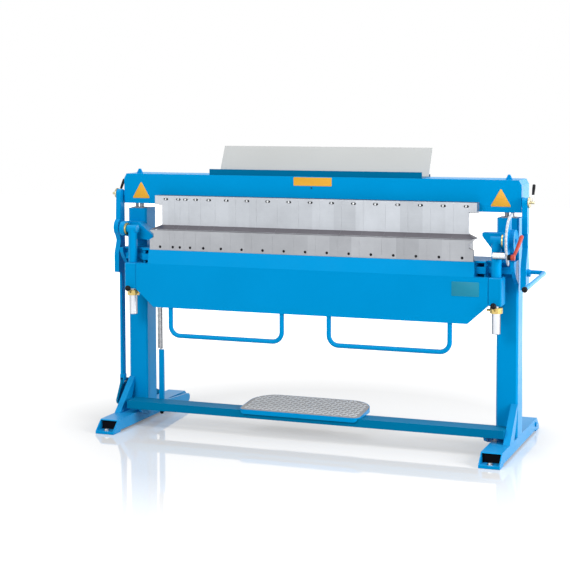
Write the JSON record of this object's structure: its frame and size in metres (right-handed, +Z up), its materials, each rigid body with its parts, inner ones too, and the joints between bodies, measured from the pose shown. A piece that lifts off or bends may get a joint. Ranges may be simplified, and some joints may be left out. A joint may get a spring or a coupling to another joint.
{
  "type": "box and pan brake",
  "caption": "Foot-operated sheet folding machine with segmented clamping tools, a hinged folding beam with U grips, a tool tray and a treadle.",
  "frame": {"origin": "middle of the machine's footprint on the floor", "axes": "+X along the bend line to the operator's right, +Y from the operator into the machine, +Z up"},
  "size_m": [2.081, 0.9144, 1.3101],
  "materials": {
    "blue_paint": "satin",
    "ground_steel": "satin",
    "brass": "satin",
    "red_plastic": "gloss",
    "tread_sheet": "matte",
    "tray_sheet": "satin",
    "scale_white": "satin",
    "rubber": "matte"
  },
  "bodies": {
    "frame": {"left_foot": "blue_paint", "right_foot": "blue_paint", "left_post": "blue_paint", "right_post": "blue_paint", "left_brace": "blue_paint", "right_brace": "blue_paint", "left_hinge_bearing": "blue_paint", "right_hinge_bearing": "blue_paint", "left_guide_rods": "ground_steel", "right_guide_rods": "ground_steel", "lower_beam": "blue_paint", "lower_cheek": "ground_steel", "angle_plate": "blue_paint", "angle_scale": "scale_white", "return_spring": "ground_steel"},
    "folding_leaf": {"folding_beam": "blue_paint", "folding_rail": "ground_steel", "left_spindle_block": "blue_paint", "right_spindle_block": "blue_paint", "left_hinge_head": "blue_paint", "right_hinge_head": "blue_paint", "left_hinge_washer": "brass", "right_hinge_washer": "brass", "left_spindle": "ground_steel", "right_spindle": "ground_steel", "spindle_collar": "ground_steel", "left_grip": "blue_paint", "right_grip": "blue_paint"},
    "left_adjuster_ring": {"left_adjuster": "brass"},
    "right_adjuster_ring": {"right_adjuster": "brass"},
    "clamp_head": {"upper_beam": "blue_paint", "upper_tools": "ground_steel", "tool_tray": "blue_paint", "tray_panel": "tray_sheet", "left_clamp_arm": "blue_paint", "right_clamp_arm": "blue_paint", "pull_strip": "blue_paint"},
    "left_eccentric_disc": {"left_eccentric": "brass"},
    "right_eccentric_disc": {"right_eccentric": "brass"},
    "clamp_lever": {"hand_lever": "blue_paint"},
    "angle_stop": {"stop_lever": "red_plastic"},
    "treadle": {"treadle_bar": "blue_paint", "left_treadle_arm": "blue_paint", "right_treadle_arm": "blue_paint", "outer_treadle_arm": "blue_paint", "tread_pan": "blue_paint", "tread_plate": "tread_sheet", "treadle_bumper": "rubber"},
    "strap": {"spring_strap": "blue_paint"}
  },
  "joints": [
    {"name": "fold_hinge", "type": "hinge", "parent": "frame", "child": "folding_leaf", "pos_m": [-0.02825, -0.11975, 0.925], "axis": [-1, 0, 0], "range_deg": [0, 135]},
    {"name": "clamp_slide", "type": "slide", "parent": "frame", "child": "clamp_head", "axis": [0, 0, -1], "range_m": [-0.05, 0]},
    {"name": "treadle_hinge", "type": "hinge", "parent": "frame", "child": "treadle", "pos_m": [-0.02825, 0.38025, 0.033], "axis": [1, 0, 0], "range_deg": [-7, 0]},
    {"name": "strap_slide", "type": "slide", "parent": "frame", "child": "strap", "axis": [0, 0, -1], "range_m": [-0.05, 0], "deforming": ["return_spring"]},
    {"name": "hand_lever_turn", "type": "hinge", "parent": "clamp_head", "child": "clamp_lever", "pos_m": [0.93375, -0.03675, 0.782], "axis": [-1, 0, 0], "range_deg": [0, 90]},
    {"name": "left_eccentric_turn", "type": "hinge", "parent": "clamp_head", "child": "left_eccentric_disc", "pos_m": [-0.99025, -0.03675, 1.085], "axis": [1, 0, 0], "range_deg": [0, 90]},
    {"name": "right_eccentric_turn", "type": "hinge", "parent": "clamp_head", "child": "right_eccentric_disc", "pos_m": [0.93375, -0.03675, 1.085], "axis": [1, 0, 0], "range_deg": [0, 90]},
    {"name": "stop_turn", "type": "hinge", "parent": "frame", "child": "angle_stop", "pos_m": [0.92205, -0.11975, 0.925], "axis": [-1, 0, 0], "range_deg": [0, 110]},
    {"name": "left_adjuster_turn", "type": "hinge", "parent": "folding_leaf", "child": "left_adjuster_ring", "pos_m": [-0.89525, -0.11975, 0.614], "axis": [0, 0, 1], "range_deg": [-25, 25]},
    {"name": "right_adjuster_turn", "type": "hinge", "parent": "folding_leaf", "child": "right_adjuster_ring", "pos_m": [0.83875, -0.11975, 0.614], "axis": [0, 0, 1], "range_deg": [-25, 25]}
  ],
  "couplings": [
    {"joint": "treadle_hinge", "follows": "clamp_slide", "rad_per_m": 2.42},
    {"joint": "strap_slide", "follows": "clamp_slide", "ratio": 0.978}
  ]
}
